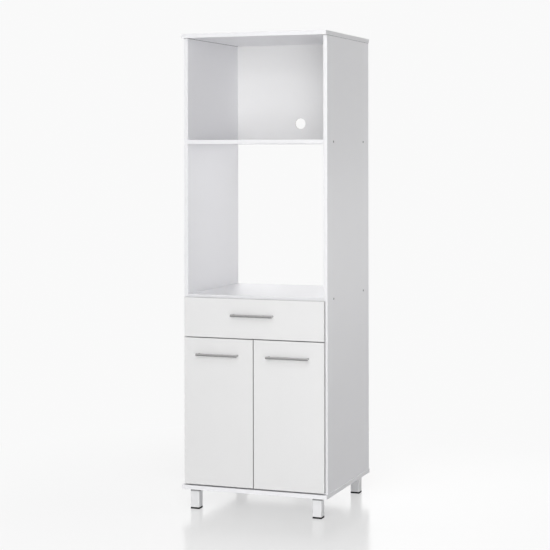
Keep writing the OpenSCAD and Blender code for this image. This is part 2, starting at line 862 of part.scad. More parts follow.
module door_panel(side) {
    color(white) placed() difference() {
        on_side(side) translate([front_gap / 2, face_y, door_bottom_z]) front_board(door_w, door_h);
        handle_holes(side * door_handle_x, door_handle_z);
        on_side(side) for (z = hinge_z) {
            translate([cup_x, rear_face_y + 1, z]) rotate([90, 0, 0])
                cylinder(d = cup_d, h = cup_depth + cup_bore_spare + 1);
            at_cup_screws(z) translate([0, 0, -cup_screw_l - 0.5])
                cylinder(d = small_screw_d + 2 * fit_gap, h = cup_screw_l + 1);
        }
    }
}

// +Z points out of the back of the right door
module at_cup_screws(z) {
    for (n = [-1, 1]) translate([cup_x - cup_screw_x, rear_face_y, z + n * cup_screw_z])
        rotate([-90, 0, 0]) children();
}

// Pressed cup with its two screw ears, the lugs that carry the pin, and the open mouth
module hinge_cup(z) {
    inner_r = cup_r - cup_wall;
    floor_y = rear_face_y - cup_depth + cup_wall;
    translate([cup_x, rear_face_y, z]) rotate([90, 0, 0]) difference() {
        union() {
            cylinder(r = cup_r, h = cup_depth, $fn = 96);
            translate([0, 0, -flange_t]) {
                cylinder(r = cup_r + flange_lap, h = flange_t, $fn = 96);
                translate([-cup_screw_x - ear_r, -cup_screw_z])
                    cube([2 * ear_r, 2 * cup_screw_z, flange_t]);
                for (n = [-1, 1]) translate([-cup_screw_x, n * cup_screw_z]) cylinder(r = ear_r, h = flange_t);
            }
        }
        translate([0, 0, -flange_t - 1])
            cylinder(r = inner_r, h = cup_depth - cup_wall + flange_t + 1, $fn = 96);
        for (n = [-1, 1]) translate([-cup_screw_x, n * cup_screw_z, -flange_t - 1])
            cylinder(d = small_screw_d + 2 * fit_gap, h = flange_t + 2);
    }
    intersection() {
        translate([cup_x, rear_face_y, z]) rotate([90, 0, 0])
            cylinder(r = cup_r - cup_wall / 2, h = cup_depth - cup_wall / 2, $fn = 96);
        for (n = [-1, 1]) translate([0, 0, z + n * (hook_w / 2 + lug_gap + lug_t / 2)]) difference() {
            union() {
                translate([pin_x - eye_d / 2, floor_y - cup_wall / 2, -lug_t / 2])
                    cube([cup_d / 2, pin_y - floor_y + cup_wall / 2, lug_t]);
                translate([pin_x, pin_y, -lug_t / 2]) cylinder(d = eye_d, h = lug_t);
                translate([pin_x, pin_y, -lug_t / 2]) cube([cup_d / 4, eye_d / 2, lug_t]);
            }
            translate([pin_x, pin_y, -lug_t]) cylinder(d = pin_d + fit_gap, h = 2 * lug_t);
        }
    }
}

module hinge_cups(side) {
    color(zinc) placed() on_side(side) for (z = hinge_z) hinge_cup(z);
}

module cup_screws(side) {
    color(zinc) placed() on_side(side) for (z = hinge_z) at_cup_screws(z)
        translate([0, 0, flange_t])
            pan_screw(small_screw_d, cup_screw_l, small_head_d, small_head_h);
}

module hinge_pins(side) {
    length = hook_w + 2 * (lug_gap + lug_t);
    color(zinc) placed() on_side(side) for (z = hinge_z)
        translate([pin_x, pin_y, z - length / 2]) cylinder(d = pin_d, h = length);
}

// ---------- hinge arms and plates ----------

// Hooked strip seen from above, from the eye at the origin to the channel
module hook_outline() {
    bend_y = hook_bend_r - hook_drop;
    circle(d = eye_d);
    translate([-hook_run, -hook_drop - arm_t / 2]) square([hook_run, arm_t]);
    translate([-hook_run, bend_y]) intersection() {
        difference() {
            circle(hook_bend_r + arm_t / 2);
            circle(hook_bend_r - arm_t / 2);
        }
        translate([-2 * hook_bend_r, -2 * hook_bend_r]) square(2 * hook_bend_r + eps);
    }
    translate([-hook_run - hook_bend_r - arm_t / 2, bend_y])
        square([arm_t, hook_top_y + 1 - pin_y - bend_y]);
}

module hinge_arm(side, z) {
    half_hook = hook_w / 2;
    half_arm = arm_w / 2;
    color(zinc) placed() on_side(side) translate([0, 0, z]) difference() {
        union() {
            translate([pin_x, pin_y, -half_hook]) linear_extrude(hook_w) hook_outline();
            translate([arm_x - arm_t / 2, 0, 0]) along_x(arm_t)
                polygon([[hook_top_y, -half_hook], [arm_taper_y, -half_arm], [arm_end_y, -half_arm],
                         [arm_end_y, half_arm], [arm_taper_y, half_arm], [hook_top_y, half_hook]]);
            for (n = [0, 1]) mirror([0, 0, n])
                translate([arm_x, arm_taper_y, half_arm - arm_flange_t])
                    cube([arm_t / 2 + arm_flange_h, arm_end_y - arm_taper_y, arm_flange_t]);
        }
        translate([pin_x, pin_y, -hook_w]) cylinder(d = pin_d + 2 * fit_gap, h = 2 * hook_w);
        for (y = arm_screw_y) translate([arm_x - arm_t, y, 0]) rotate([0, 90, 0])
            cylinder(d = arm_screw_d + 2 * fit_gap, h = 2 * arm_t);
    }
}

// Cross-shaped plate on the inner face of the side panel, with the block the arm lies on
module hinge_plate(side, z) {
    seat_x = arm_x + arm_t / 2 + plate_gap;
    block_w = arm_w - 2 * arm_flange_t - 2;
    half_pitch = plate_pitch / 2;
    color(zinc) placed() on_side(side) translate([0, 0, z]) difference() {
        union() {
            translate([inner_x - plate_t, plate_y - plate_lap, -half_pitch])
                cube([plate_t, 2 * plate_lap, plate_pitch]);
            for (n = [-1, 1]) translate([inner_x - plate_t, plate_y, n * half_pitch])
                rotate([0, 90, 0]) cylinder(r = plate_lap, h = plate_t);
            translate([seat_x, arm_taper_y, -block_w / 2])
                cube([inner_x - seat_x, arm_end_y + 2 - arm_taper_y, block_w]);
        }
        translate([seat_x + plate_t, plate_y - plate_lap, -plate_slot_w / 2])
            cube([inner_x - seat_x - 2 * plate_t, 2 * plate_lap, plate_slot_w + block_w]);
        for (n = [-1, 1]) translate([inner_x - 2 * plate_t, plate_y, n * half_pitch]) rotate([0, 90, 0])
            cylinder(d = plate_screw_d + 2 * fit_gap, h = 3 * plate_t);
        for (y = arm_screw_y) translate([seat_x - 1, y, 0]) rotate([0, 90, 0])
            cylinder(d = arm_screw_d + 2 * fit_gap, h = inner_x - seat_x - 1);
    }
}

module hinge_screws() {
    arm_screw_l = inner_x - arm_x - plate_t;
    color(zinc) placed() for (side = [-1, 1], z = hinge_z) on_side(side) translate([0, 0, z]) {
        for (n = [-1, 1]) translate([inner_x - plate_t, plate_y, n * plate_pitch / 2])
            rotate([0, -90, 0]) pan_screw(plate_screw_d, plate_screw_bite + plate_t,
                                          plate_screw_head_d, hinge_screw_head_h);
        for (y = arm_screw_y) translate([arm_x - arm_t / 2, y, 0]) rotate([0, -90, 0])
            pan_screw(arm_screw_d, arm_screw_l, arm_screw_head_d, hinge_screw_head_h);
    }
}

// ---------- nodes ----------

top_panel();
bottom_panel();
side_panel(-1);  // left_side_panel
side_panel(1);  // right_side_panel
fixed_shelf(shelf_z);  // middle_shelf
fixed_shelf(floor_z);  // bay_floor
upper_back_panel();
lower_back_panel();
cupboard_shelf();
shelf_pins();
side_screws();
end_panel_screws();
dowels();
leg(-1, 0);  // front_left_leg
leg(1, 0);  // front_right_leg
leg(-1, 1);  // rear_left_leg
leg(1, 1);  // rear_right_leg
foot_pads();
leg_bolts();
cabinet_runner(-1);  // left_cabinet_runner
cabinet_runner(1);  // right_cabinet_runner
runner_screws();
roller(-1, front_roller_y);  // left_front_roller
roller(1, front_roller_y);  // right_front_roller
roller(-1, rear_roller_y);  // left_rear_roller
roller(1, rear_roller_y);  // right_rear_roller
hinge_arm(-1, hinge_z[1]);  // upper_left_hinge_arm
hinge_arm(-1, hinge_z[0]);  // lower_left_hinge_arm
hinge_arm(1, hinge_z[1]);  // upper_right_hinge_arm
hinge_arm(1, hinge_z[0]);  // lower_right_hinge_arm
hinge_plate(-1, hinge_z[1]);  // upper_left_hinge_plate
hinge_plate(-1, hinge_z[0]);  // lower_left_hinge_plate
hinge_plate(1, hinge_z[1]);  // upper_right_hinge_plate
hinge_plate(1, hinge_z[0]);  // lower_right_hinge_plate
hinge_screws();
drawer_front();
drawer_side(-1);  // drawer_left_side
drawer_side(1);  // drawer_right_side
drawer_back();
drawer_bottom();
drawer_runner(-1);  // left_drawer_runner
drawer_runner(1);  // right_drawer_runner
drawer_runner_screws();
drawer_screws();
drawer_cams();
drawer_cam_bolts();
handle(0, drawer_handle_z);  // drawer_handle
handle_screws(0, drawer_handle_z);  // drawer_handle_screws
door_panel(-1);  // left_door_panel
handle(-door_handle_x, door_handle_z);  // left_door_handle
handle_screws(-door_handle_x, door_handle_z);  // left_door_handle_screws
hinge_cups(-1);  // left_hinge_cups
cup_screws(-1);  // left_cup_screws
hinge_pins(-1);  // left_hinge_pins
door_panel(1);  // right_door_panel
handle(door_handle_x, door_handle_z);  // right_door_handle
handle_screws(door_handle_x, door_handle_z);  // right_door_handle_screws
hinge_cups(1);  // right_hinge_cups
cup_screws(1);  // right_cup_screws
hinge_pins(1);  // right_hinge_pins
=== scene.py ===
"""Tall white kitchen cabinet: finishes, small fasteners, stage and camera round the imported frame.

Lengths are in metres, angles in fields are in degrees, and noises are sized in features per metre. The front faces
-Y, the floor is z = 0 and the frame's pieces stay where they are.

In a finish, tones are the shares of its colour that its mottling runs between, and relief is the share of its bump
that is kept. A field such as dust_roughness or ray_tone is how far that pattern moves the roughness or the tone.
"""
import logging
import math
from dataclasses import dataclass
from enum import Enum
from functools import reduce
from typing import Any, Iterable, Mapping, Sequence

import bmesh
import bpy
from mathutils import Matrix, Vector


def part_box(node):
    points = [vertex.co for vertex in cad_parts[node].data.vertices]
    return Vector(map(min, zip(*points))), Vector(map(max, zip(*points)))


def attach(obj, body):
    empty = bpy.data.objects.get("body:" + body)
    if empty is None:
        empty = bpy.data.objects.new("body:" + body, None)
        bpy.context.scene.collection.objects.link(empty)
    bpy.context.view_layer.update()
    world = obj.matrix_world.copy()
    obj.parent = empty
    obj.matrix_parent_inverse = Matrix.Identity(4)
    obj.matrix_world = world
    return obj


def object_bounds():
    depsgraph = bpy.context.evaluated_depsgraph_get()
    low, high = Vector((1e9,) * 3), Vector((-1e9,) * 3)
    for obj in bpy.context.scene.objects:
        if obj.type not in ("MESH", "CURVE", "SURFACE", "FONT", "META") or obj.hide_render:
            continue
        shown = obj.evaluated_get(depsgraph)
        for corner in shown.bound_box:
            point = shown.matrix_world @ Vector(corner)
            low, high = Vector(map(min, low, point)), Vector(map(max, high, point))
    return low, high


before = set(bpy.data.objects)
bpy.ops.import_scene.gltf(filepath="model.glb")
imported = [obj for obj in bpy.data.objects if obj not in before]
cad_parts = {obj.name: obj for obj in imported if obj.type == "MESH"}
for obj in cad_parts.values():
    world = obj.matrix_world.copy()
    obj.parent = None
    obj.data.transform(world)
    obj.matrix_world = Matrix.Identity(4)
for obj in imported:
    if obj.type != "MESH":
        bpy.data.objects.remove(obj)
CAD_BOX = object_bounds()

LOG = logging.getLogger("cabinet")
MM = 0.001
SHARP_ANGLE = math.radians(35)
MERGE_DISTANCE = 1e-6
Colour = tuple[float, float, float]
WHITE: Colour = (1.0, 1.0, 1.0)


class Axis(Enum):
    """Directions of the cabinet's frame."""

    X = 0
    Y = 1
    Z = 2


class Edge(Enum):
    """Sides of a board's box, each as its axis and which end of it."""

    LEFT = (0, 0)
    RIGHT = (0, 1)
    FRONT = (1, 0)
    REAR = (1, 1)
    LOWER = (2, 0)
    UPPER = (2, 1)


class Slot(Enum):
    """Material slots of the record for the added pieces' finishes; this script does not read them."""

    ZINC = "zinc_fittings"
    PADS = "pad_plastic"


def shaded(colour: Colour, share: float) -> Colour:
    """The colour with each of its values multiplied by share."""
    return tuple(share * value for value in colour)


def opaque(colour: Any) -> Any:
    """Adds an alpha of 1 to a plain colour; a link stays as it is."""
    return (*colour, 1.0) if isinstance(colour, tuple) else colour


# ---------- shader maths ----------


class Signal:
    """One value in a material, which Python arithmetic turns into Math nodes."""

    def __init__(self, graph: "Graph", socket: bpy.types.NodeSocket) -> None:
        """Wraps an output socket of the graph."""
        self.graph = graph
        self.socket = socket

    def _with(self, operation: str, *terms: Any) -> "Signal":
        """Adds a Math node that works on these terms."""
        node = self.graph.add("ShaderNodeMath", {"operation": operation}, dict(enumerate(terms)))
        return Signal(self.graph, node.outputs[0])

    def __add__(self, other: Any) -> "Signal":
        """self + other"""
        return self._with("ADD", self, other)

    def __sub__(self, other: Any) -> "Signal":
        """self - other"""
        return self._with("SUBTRACT", self, other)

    def __rsub__(self, other: Any) -> "Signal":
        """other - self"""
        return self._with("SUBTRACT", other, self)

    def __mul__(self, other: Any) -> "Signal":
        """self * other"""
        return self._with("MULTIPLY", self, other)

    def __truediv__(self, other: Any) -> "Signal":
        """self / other"""
        return self._with("DIVIDE", self, other)

    def __rtruediv__(self, other: Any) -> "Signal":
        """other / self"""
        return self._with("DIVIDE", other, self)

    def __lt__(self, other: Any) -> "Signal":
        """1 where self is less than other, else 0"""
        return self._with("LESS_THAN", self, other)

    def __gt__(self, other: Any) -> "Signal":
        """1 where self is more than other, else 0"""
        return self._with("GREATER_THAN", self, other)

    def __abs__(self) -> "Signal":
        """Size of self without its sign"""
        return self._with("ABSOLUTE", self)

    def __pow__(self, other: Any) -> "Signal":
        """self ** other"""
        return self._with("POWER", self, other)

    def __rpow__(self, other: Any) -> "Signal":
        """other ** self"""
        return self._with("POWER", other, self)

    __radd__ = __add__
    __rmul__ = __mul__

    def least(self, other: Any) -> "Signal":
        """The smaller of self and other"""
        return self._with("MINIMUM", self, other)

    def most(self, other: Any) -> "Signal":
        """The larger of self and other"""
        return self._with("MAXIMUM", self, other)

    def limited(self) -> "Signal":
        """self held between 0 and 1"""
        return self.least(1.0).most(0.0)

    def swing(self, span: float) -> "Signal":
        """A noise of 0 to 1 turned into one that is span wide, round 0"""
        return (self - 0.5) * span

    def blend(self, other: "Signal", share: float) -> "Signal":
        """self with this share of it replaced by other"""
        return self * (1 - share) + other * share


class Graph:
    """Nodes of one material or world."""

    def __init__(self, name: str, store: Any = None) -> None:
        """Starts with no nodes.

        Args:
            name: the material's or world's name.
            store: where it is kept, bpy.data.materials or bpy.data.worlds; materials where it is None.
        """
        self.owner = (bpy.data.materials if store is None else store).new(name)
        self.owner.use_nodes = True
        self.tree = self.owner.node_tree
        self.tree.nodes.clear()
        self._place: bpy.types.NodeSocket | None = None

    def add(self, kind: str, settings: Mapping[str, Any], inputs: Mapping[Any, Any]) -> bpy.types.Node:
        """Adds one node.

        Args:
            kind: Blender's name of the node's type.
            settings: properties that are set first; "stops" holds a colour ramp's (place, colour) pairs.
            inputs: socket name or number, and its value or the signal or socket that feeds it.

        Returns:
            The new node.
        """
        node = self.tree.nodes.new(kind)
        for key, value in settings.items():
            if key == "stops":
                self._set_stops(node.color_ramp, value)
            else:
                setattr(node, key, value)
        for key, value in inputs.items():
            if isinstance(value, Signal):
                value = value.socket
            if isinstance(value, bpy.types.NodeSocket):
                self.tree.links.new(value, node.inputs[key])
            else:
                node.inputs[key].default_value = value
        return node

    @staticmethod
    def _set_stops(ramp: bpy.types.ColorRamp, stops: Sequence[tuple[float, Colour]]) -> None:
        """Gives a colour ramp its stops.

        Args:
            ramp: the colour ramp.
            stops: place and colour of each stop, in order.
        """
        while len(ramp.elements) < len(stops):
            ramp.elements.new(1.0)
        for element, (place, colour) in zip(ramp.elements, stops):
            element.position = place
            element.color = opaque(colour)

    def place(self) -> bpy.types.NodeSocket:
        """Position on the piece at rest, made once for each graph.

        Returns:
            The position, in metres.
        """
        if self._place is None:
            self._place = self.add("ShaderNodeTexCoord", {}, {}).outputs["Object"]
        return self._place

    def axes(self, vector: bpy.types.NodeSocket) -> tuple[Signal, Signal, Signal]:
        """Splits a vector into its three values."""
        node = self.add("ShaderNodeSeparateXYZ", {}, {"Vector": vector})
        return tuple(Signal(self, node.outputs[i]) for i in range(3))

    def rays(self, kind: str) -> Signal:
        """1 for rays of this kind, else 0."""
        return Signal(self, self.add("ShaderNodeLightPath", {}, {}).outputs[kind])

    def stretched(self, scale: Sequence[float]) -> bpy.types.NodeSocket:
        """The place multiplied by one number per axis."""
        node = self.add("ShaderNodeVectorMath", {"operation": "MULTIPLY"}, {0: self.place(), 1: tuple(scale)})
        return node.outputs[0]

    def noise(self, scale: Sequence[float] | float, detail: float = 2.0, roughness: float = 0.5) -> Signal:
        """Soft noise round 0.5.

        Args:
            scale: features per metre, one number or one per axis.
            detail: octaves of finer noise on top.
            roughness: weight of each finer octave.

        Returns:
            The noise's value.
        """
        if isinstance(scale, (int, float)):
            scale = (scale,) * 3
        node = self.add("ShaderNodeTexNoise", {},
                        {"Vector": self.stretched(scale), "Scale": 1.0, "Detail": detail, "Roughness": roughness})
        return Signal(self, node.outputs[0])

    def mix(self, share: Signal | float, first: Any, second: Any) -> bpy.types.NodeSocket:
        """The first colour where share is 0, the second where it is 1."""
        values = {0: share, 6: opaque(first), 7: opaque(second)}
        return self.add("ShaderNodeMix", {"data_type": "RGBA"}, values).outputs[2]

    def tinted(self, share: Signal, colour: Colour, tones: tuple[float, float]) -> bpy.types.NodeSocket:
        """The colour times the first tone where share is 0, times the second where it is 1."""
        return self.mix(share, shaded(colour, tones[0]), shaded(colour, tones[1]))

    def ramp(self, value: Signal, stops: Sequence[tuple[float, Colour]]) -> bpy.types.NodeSocket:
        """Colour of a ramp at a value."""
        return self.add("ShaderNodeValToRGB", {"stops": stops}, {0: value}).outputs[0]

    def bump(self, height: Signal, depth: float, strength: float) -> bpy.types.NodeSocket:
        """Normal of a surface whose height varies.

        Args:
            height: 0 at the lowest, 1 at the highest.
            depth: metres between the two.
            strength: share of the effect that is kept.

        Returns:
            The normal, for a shader.
        """
        node = self.add("ShaderNodeBump", {}, {"Height": height, "Distance": depth, "Strength": strength})
        return node.outputs[0]

    def finish(self, colour: bpy.types.NodeSocket, roughness: Signal, normal: bpy.types.NodeSocket,
               **constants: float) -> bpy.types.Material:
        """Ends the material in a Principled shader.

        Args:
            colour: link to the base colour.
            roughness: signal of the roughness.
            normal: link from a Bump node.
            constants: other sockets' values, with _ for a space in their names.

        Returns:
            The finished material.
        """
        inputs = {"Base Color": colour, "Roughness": roughness, "Normal": normal}
        inputs.update({key.replace("_", " "): value for key, value in constants.items()})
        shader = self.add("ShaderNodeBsdfPrincipled", {}, inputs)
        self.add("ShaderNodeOutputMaterial", {}, {"Surface": shader.outputs[0]})
        return self.owner


# ---------- finishes ----------


@dataclass(frozen=True)
class MelamineBoard:
    """Chipboard with a melamine skin on both faces and banded edges, coloured through its whole thickness.

    The band covers an edge, the seam is the glue line between band and skin, and a dark line of painted shadow
    is drawn where another panel laps over the board.
    """

    colour: Colour = (0.896, 0.895, 0.915)
    # the band colour, darker than the face colour, is painted shade on the edges, the top panel's shaded side edge
    # among them
    band_colour: Colour = (0.71, 0.709, 0.724)
    seam_colour: Colour = (0.56, 0.56, 0.57)
    # painted shadow: colour of the dark line drawn under a panel that laps over the board
    painted_shadow_colour: Colour = (0.13, 0.13, 0.133)
    chip_light: Colour = (0.53, 0.39, 0.24)
    chip_dark: Colour = (0.25, 0.16, 0.09)
    gloss_roughness: float = 0.42
    core_roughness: float = 0.92
    smudge_roughness: float = 0.12
    skin: float = 0.25 * MM
    band: float = 0.8 * MM
    seam: float = 0.09 * MM
    # width of that line of painted shadow
    joint: float = 1.6 * MM
    cloud: float = 1.7
    smudge: float = 9.0
    pearl: float = 1500.0
    pearl_depth: float = 0.02 * MM
    tone: float = 0.02
    tone_contrast: float = 4.0
    dulled: float = 0.96
    chips: float = 330.0
    chips_across: float = 1100.0
    chip_grain: float = 2600.0
    chip_grain_share: float = 0.4
    chip_middle: float = 0.45
    chip_palest: float = 1.25
    chip_relief: float = 12.0
    relief: float = 0.6

    def make(self, name: str, box: tuple[Vector, Vector], thickness: Axis, banded: Iterable[Edge],
             joined: Edge | None = None) -> bpy.types.Material:
        """Makes the board's material.

        Args:
            name: the material's name.
            box: lowest and highest corner of the board.
            thickness: the axis across the board.
            banded: its banded edges.
            joined: the side under a panel that laps over it, where a dark line of painted shadow is drawn.

        Returns:
            The material.
        """
        graph = Graph(name)
        axes = graph.axes(graph.place())
        low, high = box

        def depth(edge: Edge) -> Signal:
            """Distance inwards from one side of the box."""
            axis, end = edge.value
            return high[axis] - axes[axis] if end else axes[axis] - low[axis]

        across = [edge for edge in Edge if edge.value[0] == thickness.value]
        skin = reduce(Signal.least, map(depth, across)) < self.skin
        edge_depth = reduce(Signal.least, map(depth, banded))
        band = edge_depth < self.band
        seam = (1 - abs(edge_depth - self.band) / self.seam).limited() * skin
        covered = skin.most(band)

        cloud = graph.noise(self.cloud, detail=3.0)
        smudge = graph.noise(self.smudge, detail=4.0, roughness=0.6)
        pearl = graph.noise(self.pearl)
        shade = cloud.swing(self.tone) + pearl.swing(self.tone)
        white = graph.mix(band, self.colour, self.band_colour)
        toned = graph.mix((0.5 - shade * self.tone_contrast).limited(), white, shaded(self.colour, self.dulled))
        face = graph.mix(seam, toned, self.seam_colour)
        # painted shadow: a dark line along the joined side, in place of the shade under the panel that laps over it
        if joined is not None:
            face = graph.mix((2 - depth(joined) / self.joint * 2).limited(), face, self.painted_shadow_colour)

        chips = self._pressed_chips(graph, thickness)
        palest = shaded(self.chip_light, self.chip_palest)
        core = graph.ramp(chips, [(0.0, self.chip_dark), (self.chip_middle, self.chip_light), (1.0, palest)])
        colour = graph.mix(covered, core, face)
        glossier = self.gloss_roughness - self.core_roughness + smudge.swing(self.smudge_roughness)
        rough = self.core_roughness + covered * glossier
        height = covered * pearl + (1 - covered) * chips * self.chip_relief
        return graph.finish(colour, rough, graph.bump(height, self.pearl_depth, self.relief))

    def _pressed_chips(self, graph: Graph, thickness: Axis) -> Signal:
        """Pressed wood chips, flat in the board: a tone for each chip and a finer grain on it.

        Args:
            graph: the material that they are made for.
            thickness: the axis across the board.

        Returns:
            The tone, from 0 to 1.
        """
        scale = [self.chips] * 3
        scale[thickness.value] = self.chips_across
        cells = graph.add("ShaderNodeTexVoronoi", {"feature": "F1"},
                          {"Vector": graph.stretched(scale), "Scale": 1.0, "Randomness": 1.0})
        tone = graph.axes(cells.outputs["Color"])[0]
        return tone.blend(graph.noise(self.chip_grain), self.chip_grain_share).limited()


@dataclass(frozen=True)
class Hardboard:
    """Thin hardboard, lacquered white on one face and bare on the other and on its edges."""

    colour: Colour = (0.835, 0.834, 0.834)
    bare_light: Colour = (0.40, 0.27, 0.16)
    bare_dark: Colour = (0.23, 0.145, 0.08)
    lacquer: float = 0.2 * MM
    gloss_roughness: float = 0.65
    bare_roughness: float = 0.85
    cloud_roughness: float = 0.1
    fibre: float = 900.0
    fibre_depth: float = 0.06 * MM
    relief: float = 0.7
    filled: float = 0.8
    cloud: float = 7.0
    cloud_share: float = 0.3
    cloud_strength: float = 0.5
    tones: tuple[float, float] = (1.0, 0.985)
    bare_darkening: float = 0.15
    specks: tuple[float, float, float] = (260.0, 260.0, 420.0)
    speck_limit: float = 0.66
    speck_strength: float = 0.5

    def make(self, name: str, box: tuple[Vector, Vector], lacquered: Edge) -> bpy.types.Material:
        """Makes the material of one hardboard panel.

        Args:
            name: the material's name.
            box: lowest and highest corner of the panel.
            lacquered: the side that is white.

        Returns:
            The material.
        """
        graph = Graph(name)
        axis, end = lacquered.value
        at = graph.axes(graph.place())[axis]
        depth = box[1][axis] - at if end else at - box[0][axis]
        white = depth < self.lacquer
        fibre = graph.noise(self.fibre, detail=5.0, roughness=0.65)
        cloud = graph.noise(self.cloud, detail=4.0, roughness=0.6)
        speck = graph.noise(self.specks) > self.speck_limit
        matted = fibre.blend(cloud, self.cloud_share) - self.bare_darkening
        bare = graph.mix(matted.limited(), self.bare_dark, self.bare_light)
        flecked = graph.mix(speck * self.speck_strength, bare, self.bare_dark)
        face = graph.tinted((cloud * self.cloud_strength).limited(), self.colour, self.tones)
        colour = graph.mix(white, flecked, face)
        glossier = self.gloss_roughness - self.bare_roughness + cloud.swing(self.cloud_roughness)
        rough = self.bare_roughness + white * glossier
        height = fibre * (1 - white * self.filled)
        return graph.finish(colour, rough, graph.bump(height, self.fibre_depth, self.relief))


@dataclass(frozen=True)
class BrushedNickel:
    """Satin nickel, brushed along the bar and turned round the posts."""

    colour: Colour = (0.40, 0.40, 0.398)
    tones: tuple[float, float] = (0.86, 1.12)
    roughness: float = 0.18
    brush_roughness: float = 0.16
    wear_roughness: float = 0.10
    streak: float = 9000.0
    streak_length: float = 45.0
    turned_length: float = 270.0
    streak_depth: float = 0.006 * MM
    relief: float = 0.8
    wear: float = 60.0
    wear_share: float = 0.45

    def make(self, name: str, bar_axis_y: float, bar_radius: float) -> bpy.types.Material:
        """Makes the handle's material.

        Args:
            name: the material's name.
            bar_axis_y: y of the bar's centre line.
            bar_radius: radius of the bar.

        Returns:
            The material.
        """
        graph = Graph(name)
        y = graph.axes(graph.place())[1]
        post = (y - bar_axis_y) > bar_radius
        along = graph.noise((self.streak_length, self.streak, self.streak), detail=3.0, roughness=0.6)
        turned = graph.noise((self.turned_length, self.streak, self.turned_length))
        brush = along + post * (turned - along)
        wear = graph.noise(self.wear, detail=4.0, roughness=0.6)
        colour = graph.tinted(brush.blend(wear, self.wear_share).limited(), self.colour, self.tones)
        rough = brush.swing(self.brush_roughness) + wear.swing(self.wear_roughness) + self.roughness
        return graph.finish(colour, rough, graph.bump(brush, self.streak_depth, self.relief), Metallic=1.0)


@dataclass(frozen=True)
class PlatedSteel:
    """Small steel fitting with a zinc or nickel plating."""

    colour: Colour
    roughness: float
    cloud: float = 220.0
    dull_contrast: float = 1.6
    dull_start: float = 0.4
    dull_roughness: float = 0.14
    grain: float = 4200.0
    grain_roughness: float = 0.08
    grain_depth: float = 0.012 * MM
    relief: float = 0.5
    tarnish: float = 0.22
    tones: tuple[float, float] = (1.0, 0.55)

    def make(self, name: str) -> bpy.types.Material:
        """Makes the plating's material.

        Args:
            name: the material's name.

        Returns:
            The material.
        """
        graph = Graph(name)
        cloud = graph.noise(self.cloud, detail=3.0, roughness=0.6)
        grain = graph.noise(self.grain)
        dull = (cloud * self.dull_contrast - self.dull_start).limited()
        colour = graph.tinted(dull * self.tarnish, self.colour, self.tones)
        rough = self.roughness + dull.swing(self.dull_roughness) + grain.swing(self.grain_roughness)
        return graph.finish(colour, rough, graph.bump(grain, self.grain_depth, self.relief), Metallic=1.0)


@dataclass(frozen=True)
class Enamel:
    """Sprayed and baked paint on steel, with a fine orange peel."""

    colour: Colour
    roughness: float
    tones: tuple[float, float] = (0.9, 1.1)
    peel: float = 420.0
    peel_roughness: float = 0.06
    peel_depth: float = 0.03 * MM
    relief: float = 0.5
    dust: float = 38.0
    dust_tone: float = 0.05
    dust_roughness: float = 0.12
    fleck: float = 5200.0
    fleck_tone: float = 0.06
    metallic: float = 0.0

    def make(self, name: str) -> bpy.types.Material:
        """Makes the paint's material.

        Args:
            name: the material's name.

        Returns:
            The material.
        """
        graph = Graph(name)
        peel = graph.noise(self.peel, roughness=0.45)
        dust = graph.noise(self.dust, detail=4.0, roughness=0.6)
        fleck = graph.noise(self.fleck, detail=1.0)
        shade = (fleck.swing(self.fleck_tone) + dust.swing(self.dust_tone) + 0.5).limited()
        colour = graph.tinted(shade, self.colour, self.tones)
        rough = self.roughness + dust.swing(self.dust_roughness) + peel.swing(self.peel_roughness)
        return graph.finish(colour, rough, graph.bump(peel, self.peel_depth, self.relief), Metallic=self.metallic)


@dataclass(frozen=True)
class MouldedPlastic:
    """Moulded plastic with a fine spark-eroded grain."""

    colour: Colour
    roughness: float
    tones: tuple[float, float] = (0.85, 1.1)
    grain: float = 1600.0
    grain_share: float = 0.2
    grain_roughness: float = 0.1
    grain_depth: float = 0.03 * MM
    relief: float = 0.5
    flow: float = 45.0
    flow_roughness: float = 0.14
    translucent: float = 0.0
    scatter: float = 1.5 * MM
    specular: float = 0.5

    def make(self, name: str) -> bpy.types.Material:
        """Makes the plastic's material.

        Args:
            name: the material's name.

        Returns:
            The material.
        """
        graph = Graph(name)
        grain = graph.noise(self.grain)
        flow = graph.noise(self.flow, detail=3.0)
        colour = graph.tinted(flow.blend(grain, self.grain_share).limited(), self.colour, self.tones)
        rough = self.roughness + flow.swing(self.flow_roughness) + grain.swing(self.grain_roughness)
        return graph.finish(colour, rough, graph.bump(grain, self.grain_depth, self.relief),
                            Subsurface_Weight=self.translucent, Subsurface_Scale=self.scatter,
                            Specular_IOR_Level=self.specular)


@dataclass(frozen=True)
class Beech:
    """Planed beech with short dark rays."""

    light: Colour = (0.62, 0.44, 0.26)
    dark: Colour = (0.42, 0.27, 0.14)
    roughness: float = 0.62
    grain: tuple[float, float, float] = (120.0, 900.0, 900.0)
    grain_roughness: float = 0.2
    grain_depth: float = 0.08 * MM
    relief: float = 0.6
    rays: tuple[float, float, float] = (500.0, 2400.0, 2400.0)
    ray_limit: float = 0.62
    ray_tone: float = 0.25

    def make(self, name: str) -> bpy.types.Material:
        """Makes the wood's material.

        Args:
            name: the material's name.

        Returns:
            The material.
        """
        graph = Graph(name)
        grain = graph.noise(self.grain, detail=4.0, roughness=0.6)
        ray = graph.noise(self.rays, detail=1.0) > self.ray_limit
        colour = graph.mix((grain - ray * self.ray_tone).limited(), self.dark, self.light)
        rough = self.roughness + grain.swing(self.grain_roughness)
        return graph.finish(colour, rough, graph.bump(grain, self.grain_depth, self.relief))


